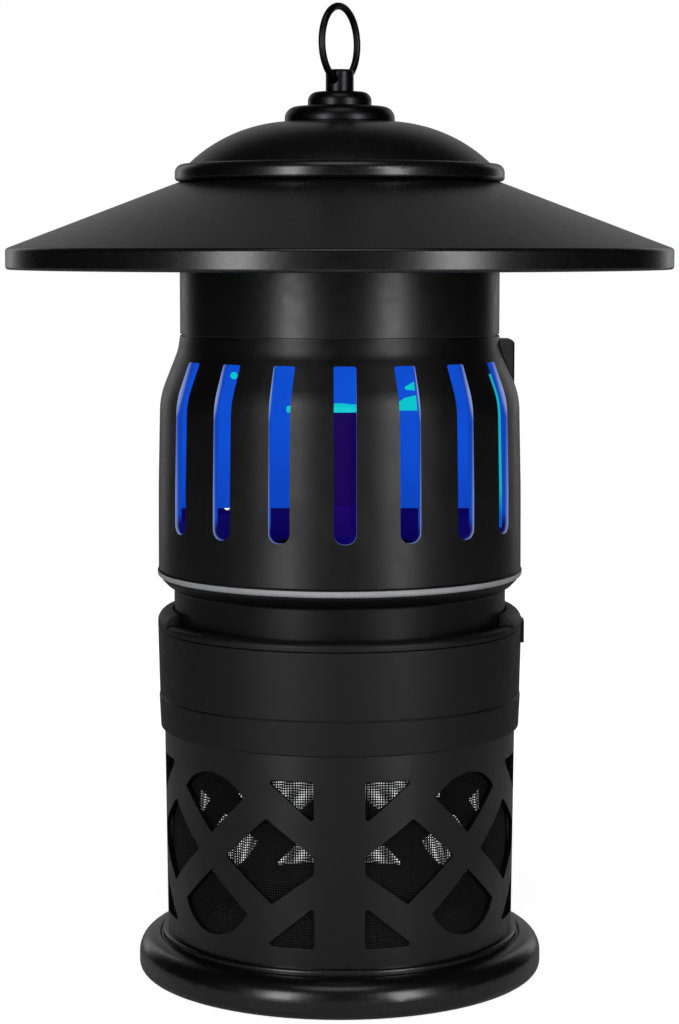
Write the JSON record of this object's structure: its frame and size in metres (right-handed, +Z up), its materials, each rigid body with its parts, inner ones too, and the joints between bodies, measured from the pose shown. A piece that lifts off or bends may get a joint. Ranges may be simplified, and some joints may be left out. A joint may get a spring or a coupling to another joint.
{
  "type": "outdoor insect trap",
  "caption": "Lantern-style outdoor insect trap: slotted UV lamp chamber over a fan duct and a twist-lock lattice catch basket, under a wide conical rain shroud with a hanging ring.",
  "frame": {"origin": "on the drum's axis at the bottom of the rubber foot ring", "axes": "+Z up along the axis; -Y is the front, +X is the side with the lock ring's thumb tab and the power inlet"},
  "size_m": [0.243, 0.243, 0.3566],
  "materials": {
    "rubber": "matte",
    "steel": "zinc plated",
    "screen_mesh": "woven monofilament mesh",
    "body_plastic": "fine satin moulded",
    "shroud_plastic": "fine satin moulded",
    "inner_plastic": "moulded",
    "silver_trim": "satin",
    "lit_floor": "lit by the lamps",
    "lit_reflector": "lit by the lamps",
    "lit_bracket": "lit by the lamps",
    "lamp_socket": "moulded",
    "lamp_glass": "violet glass",
    "black_metal": "satin black",
    "motor_steel": "plated",
    "board": "solder mask",
    "components": "moulded",
    "wire": "insulated wire"
  },
  "bodies": {
    "catch_base": {"foot_ring": "rubber", "bottom_plate": "inner_plastic", "bottom_screws": "steel", "base_flange": "body_plastic", "basket_floor": "inner_plastic", "lattice_cage": "body_plastic", "mesh_screen": "screen_mesh", "basket_hoops": "inner_plastic", "collar_band": "body_plastic", "duct_seal": "rubber"},
    "lock_ring": {"lock_ring": "body_plastic"},
    "head": {"accent_ring": "silver_trim", "board_components": "components", "board_screws": "steel", "board_standoffs": "inner_plastic", "bridge_screws": "steel", "control_board": "board", "dc_jack": "components", "dome_cover": "shroud_plastic", "fan_duct": "inner_plastic", "finial_base": "black_metal", "finial_cap": "black_metal", "guard_bars": "inner_plastic", "hanging_stud": "black_metal", "intake_funnel": "lit_floor", "jack_housing": "body_plastic", "jack_lead": "wire", "lamp_bridge": "lit_floor", "lamp_clip_front": "lit_bracket", "lamp_clip_rear": "lit_bracket", "lamp_deck": "inner_plastic", "lamp_housing": "body_plastic", "lamp_socket_front": "lamp_socket", "lamp_socket_rear": "lamp_socket", "motor_arms": "inner_plastic", "motor_can": "motor_steel", "motor_cup": "inner_plastic", "mount_rim": "inner_plastic", "neck_housing": "body_plastic", "neck_shell": "body_plastic", "rain_shroud": "shroud_plastic", "reflector_plate": "lit_reflector", "stud_nut": "steel", "stud_washer": "steel", "uv_lamp_front": "lamp_glass", "uv_lamp_rear": "lamp_glass", "wire_conduit": "lit_bracket", "wiring_harness": "wire"},
    "fan": {"impeller": "inner_plastic", "motor_shaft": "steel"},
    "hanging_ring": {"hanging_ring": "black_metal"}
  },
  "joints": [
    {"name": "head_lift", "type": "slide", "parent": "catch_base", "child": "head", "axis": [0, 0, 1], "range_m": [0, 0.08]},
    {"name": "lock_turn", "type": "hinge", "parent": "catch_base", "child": "lock_ring", "pos_m": [0, 0, 0.1325], "axis": [0, 0, 1], "range_deg": [0, 15]},
    {"name": "fan_spin", "type": "hinge", "parent": "head", "child": "fan", "pos_m": [0, 0, 0.1425], "axis": [0, 0, 1], "continuous": true},
    {"name": "ring_swing", "type": "hinge", "parent": "head", "child": "hanging_ring", "pos_m": [0, 0, 0.3292], "axis": [-0.4772, -0.8788, 0], "range_deg": [-110, 110]}
  ]
}
